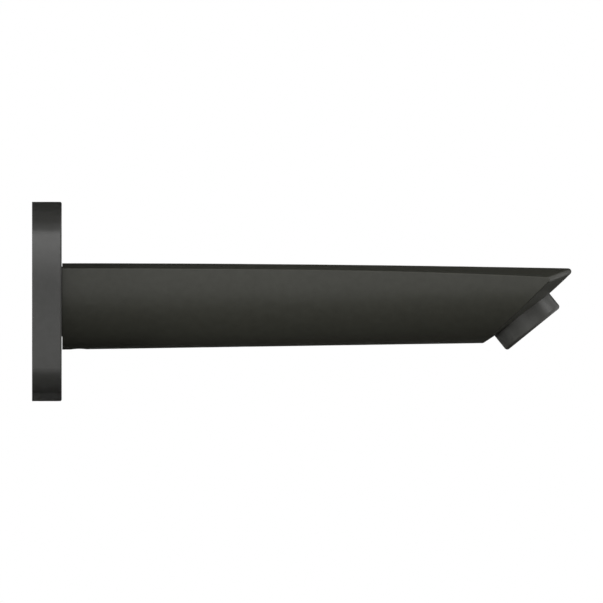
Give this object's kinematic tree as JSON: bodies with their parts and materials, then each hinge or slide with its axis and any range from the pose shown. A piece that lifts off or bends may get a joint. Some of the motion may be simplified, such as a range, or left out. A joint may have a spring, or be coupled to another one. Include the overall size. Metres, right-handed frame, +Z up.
{
  "type": "bath spout",
  "caption": "Wall mounted bath spout: long crowned body flaring to a thin lip, soft square wall flange, and an aerator set square to the sloping underside.",
  "frame": {"origin": "centre of the supply tube's bore at its mouth, in the plane of the finished wall", "axes": "+X out from the wall along the spout, +Z up, +Y across the spout"},
  "size_m": [0.2161, 0.0798, 0.0798],
  "materials": {
    "black_coating": "matte black powder coat",
    "black_coating_on_turned_brass": "satin black coat on turned brass",
    "rubber": "moulded black rubber",
    "brass": "turned brass",
    "spring_steel": "stamped stainless spring steel",
    "screw_steel": "stainless steel",
    "screen_steel": "stainless mesh",
    "white_acetal": "moulded white plastic",
    "grey_acetal": "moulded dark grey plastic"
  },
  "bodies": {
    "root": {"spout_body": "black_coating", "escutcheon": "black_coating", "aerator_housing": "black_coating_on_turned_brass", "wall_gasket": "rubber", "flange_friction_ring": "rubber", "slip_adapter": "brass", "retaining_ring": "spring_steel", "set_screw": "screw_steel", "aerator_washer": "rubber", "aerator_insert": "white_acetal", "inlet_screen": "screen_steel", "jet_plate": "white_acetal", "outlet_grid": "grey_acetal", "tube_o_ring_rear": "rubber", "tube_o_ring_front": "rubber", "adapter_o_ring_rear": "rubber", "adapter_o_ring_front": "rubber", "mixing_screen_lower": "screen_steel", "mixing_screen_upper": "screen_steel"}
  },
  "joints": []
}
